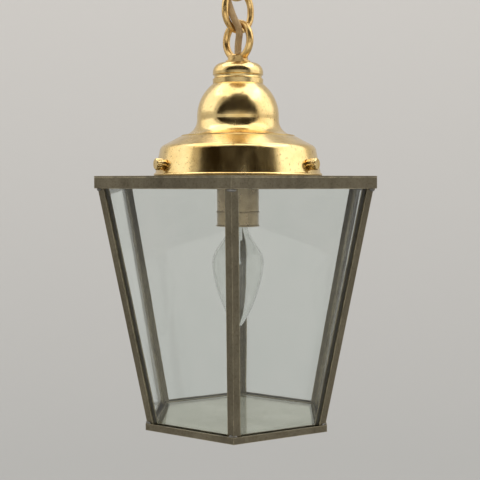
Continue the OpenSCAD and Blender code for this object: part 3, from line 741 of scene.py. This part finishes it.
def blob(work, turn, height, size, seed):
    """A small uneven mound on a corner, with size across, out and up."""
    draw = random.Random(seed)
    out = Vector((math.cos(turn), math.sin(turn), 0))
    across = Vector((-out.y, out.x, 0))
    shift = draw.uniform(-BLOB_SHIFT, BLOB_SHIFT)
    middle = out * (corner_r(height) + SOLDER_PROUD) + across * shift + Vector((0, 0, height))
    made = bmesh.ops.create_icosphere(work, subdivisions=BLOB_FINENESS, radius=1.0)
    lobes = []
    for _ in range(LOBES):
        lobe = Vector([draw.uniform(-1, 1) for _ in range(3)]).normalized()
        lobes.append((lobe, draw.uniform(*LOBE_HEIGHTS)))
    scale = draw.uniform(*BLOB_SCALES)
    for vert in made["verts"]:
        way = vert.co.normalized()
        bulge = sum(high * max(0.0, way.dot(lobe)) ** LOBE_SHARPNESS for lobe, high in lobes)
        swell = scale * (1 + bulge)
        vert.co = middle + swell * (across * way.x * size[0] + out * way.y * size[1]
                                    + Vector((0, 0, way.z * size[2])))


def make_solder():
    """A mound under the rim and one on the foot at each corner, as one piece."""

    def build(work):
        for i in range(CORNERS):
            turn = math.radians(360 / CORNERS * i + FIRST_CORNER)
            blob(work, turn, rim_low.z - UNDER_RIM, TOP_BLOB, TOP_SEED + i)
            blob(work, turn, foot_top + OVER_FOOT, FOOT_BLOB, FOOT_SEED + i)

    obj = piece("solder", build, solder_material)
    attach(obj, "lantern")


# Filament: two thick legs and a fine coil between them, on the route of the CAD's hairpin

# The CAD's hairpin: its wire, where its legs start and swing out, and the bends at its foot
HAIRPIN_WIRE_R = 0.3 * MM
LEG_NEAR = 2.8 * MM
LEG_TOP = 0.1 * MM
LEG_SWING = 12 * MM
SWING_STEPS = 12
TURN_R = 3 * MM
TURN_STEPS = 8

# Past the swing the coil grows to its radius, while the wire thins from the leg's to its own
COIL_GROWTH = 1.5 * MM
COIL_R = 0.2 * MM
COIL_PITCH = 0.4 * MM
COIL_STEP = 0.045 * MM
LEG_R = 0.15 * MM
WIRE_R = 0.08 * MM
WIRE_SIDES = 6


def hairpin():
    """Route down one leg, which swings outwards, in along the foot, and up the other leg."""
    low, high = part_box("bulb_filament")
    far = high.x - HAIRPIN_WIRE_R
    foot = low.z + HAIRPIN_WIRE_R
    top = high.z - LEG_TOP
    half = []
    for i in range(SWING_STEPS + 1):
        out = (1 - math.cos(math.pi * i / SWING_STEPS)) / 2
        half.append(Vector((LEG_NEAR + (far - LEG_NEAR) * out, 0,
                            top - LEG_SWING * i / SWING_STEPS)))
    for i in range(TURN_STEPS + 1):
        turn = math.pi / 2 * i / TURN_STEPS
        half.append(Vector((far - TURN_R * (1 - math.cos(turn)), 0,
                            foot + TURN_R * (1 - math.sin(turn)))))
    return half + [Vector((-point.x, 0, point.z)) for point in reversed(half)]


def make_filament():
    """Thick straight wire in the legs as they swing out, and fine coiled wire between them."""
    points, length = resample(hairpin(), COIL_STEP)
    side = Vector((0, 1, 0))
    wound = []
    thick = []
    for i, point in enumerate(points):
        gone = length * i / (len(points) - 1)
        grown = (min(gone, length - gone) - LEG_SWING) / COIL_GROWTH
        grown = max(0.0, min(1.0, grown))
        turn = 2 * math.pi * gone / COIL_PITCH
        out = math.cos(turn) * side + math.sin(turn) * heading(points, i).cross(side)
        wound.append(point + grown * COIL_R * out)
        thick.append(LEG_R + (WIRE_R - LEG_R) * grown)

    def build(work):
        sweep(work, wound, lambda i: circle(thick[i], WIRE_SIDES))

    obj = piece("filament_coil", build, materials["filament"])
    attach(obj, "bulb")
    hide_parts("bulb_filament")


# Floor and backdrop

# Painted light and shade on the backdrop: its colour is lighter at the top and darker at the foot
WALL_TOP_PAINTED_LIGHT = (0.655, 0.632, 0.600)
WALL_FOOT_PAINTED_SHADE = (0.520, 0.513, 0.492)
FOOT_TONE_Z = -1.1
TOP_TONE_Z = 0.4

# Share of a view of the wall that is painted light, the glow of its painted gradient, and not how the lights fall
# on it
PAINTED_GLOW_SHARE = 0.75

WALL_R = 2.4
WALL_HIGH = 2.6
FLOOR_Z = -1.8
HUB_R = 0.01
BEND_R = 0.5
BEND_STEPS = 16
WALL_SIDES = 96


def surround_profile():
    """Distance from the axis and height, from the middle of the floor to the top of the wall."""
    floor_r = WALL_R - BEND_R
    profile = [(HUB_R, FLOOR_Z), (floor_r, FLOOR_Z)]
    for i in range(1, BEND_STEPS + 1):
        turn = math.pi / 2 * i / BEND_STEPS
        profile.append((floor_r + BEND_R * math.sin(turn), FLOOR_Z + BEND_R * (1 - math.cos(turn))))
    profile.append((WALL_R, WALL_HIGH))
    return profile


def surround_paint():
    """A pale wall with painted light: lighter at the top and darker at the foot, glowing with that painted
    gradient to the camera, to gloss and through glass.
    """
    s = Shader("surround", Roughness=0.9, Specular_IOR_Level=0.1)
    height = s.node("SeparateXYZ", Vector=s.place()).outputs["Z"]
    up = s.calc("DIVIDE", s.calc("SUBTRACT", height, FOOT_TONE_Z), TOP_TONE_Z - FOOT_TONE_Z)
    painted_gradient = s.ramp(up, (0.0, WALL_FOOT_PAINTED_SHADE), (1.0, WALL_TOP_PAINTED_LIGHT))
    s.colour(painted_gradient)
    # The wall glows with its painted gradient, as painted light
    painted_glow = s.node("Emission", Color=painted_gradient, Strength=1.0)
    rays = s.node("LightPath").outputs
    mirrored = s.calc("MAXIMUM", rays["Is Glossy Ray"], rays["Is Transmission Ray"])
    seen = s.calc("MAXIMUM", rays["Is Camera Ray"], mirrored)
    s.overlay(s.calc("MULTIPLY", seen, PAINTED_GLOW_SHARE), painted_glow)
    return s.material


def pale_surround():
    """A round floor that bends up into a wall, so that every side has the same plain ground."""
    work = bmesh.new()
    rings = [[work.verts.new((x, y, height)) for x, y in circle(radius, WALL_SIDES)]
             for radius, height in surround_profile()]
    work.faces.new(rings[0])
    skin(work, rings)
    data = bpy.data.meshes.new("surround")
    work.to_mesh(data)
    work.free()
    data.materials.append(surround_paint())
    obj = new_object("surround", data)
    smooth(obj, SHARP_SURROUND)


# Light

WORLD_COLOUR = (0.60, 0.58, 0.56)
WORLD_STRENGTH = 0.8
LEFT_COLOUR = (1.0, 0.99, 0.96)
RIGHT_COLOUR = (1.0, 0.98, 0.95)
CARD_COLOUR = (0.030, 0.022, 0.012)
CARD_CORNERS = [(-1.75, -1.0, -0.02), (1.75, -1.0, -0.02),
                (0.42, -0.50, 0.84), (-0.12, -0.50, 0.84)]


def soft_light(name, place, size, power, colour=(1, 1, 1)):
    """A broad light aimed at the upper rim, which isn't seen through the glass."""
    data = bpy.data.lights.new(name, "AREA")
    data.shape = "RECTANGLE"
    data.size, data.size_y = size
    data.energy = power
    data.color = colour
    obj = new_object(name, data)
    obj.location = place
    aim = Vector((0, 0, rim_z)) - Vector(place)
    obj.rotation_euler = aim.to_track_quat("-Z", "Y").to_euler()
    obj.visible_transmission = False


def dark_card():
    """A plain card above and in front, which is seen only as a reflection in the brass."""
    data = bpy.data.meshes.new("dark_card")
    data.from_pydata(CARD_CORNERS, [], [tuple(range(len(CARD_CORNERS)))])
    s = Shader("dark_card", Roughness=1.0, Base_Color=CARD_COLOUR, Specular_IOR_Level=0.0)
    data.materials.append(s.material)
    obj = new_object("dark_card", data)
    obj.visible_camera = False
    obj.visible_shadow = False
    obj.visible_diffuse = False
    obj.visible_transmission = False


def make_light():
    """Light from all round, from above and from both sides, and low light from the front."""
    world = bpy.data.worlds.new("world")
    bpy.context.scene.world = world
    world.use_nodes = True
    background = world.node_tree.nodes["Background"].inputs
    background["Color"].default_value = rgba(WORLD_COLOUR)
    background["Strength"].default_value = WORLD_STRENGTH
    soft_light("left", place=(-1.6, 0.15, 0.90), size=(1.9, 1.7), power=7.5, colour=LEFT_COLOUR)
    soft_light("right", place=(1.6, 0.05, 0.80), size=(2.0, 1.8), power=11, colour=RIGHT_COLOUR)
    soft_light("top", place=(0.1, -0.1, 1.4), size=(2.6, 3.0), power=38)
    soft_light("front", place=(0.1, -1.8, -0.60), size=(2.8, 1.1), power=9)
    dark_card()


make_camera()
dress_nodes()
make_flex()
make_solder()
make_filament()
pale_surround()
make_light()
scene = bpy.context.scene
scene.view_settings.view_transform = "Standard"
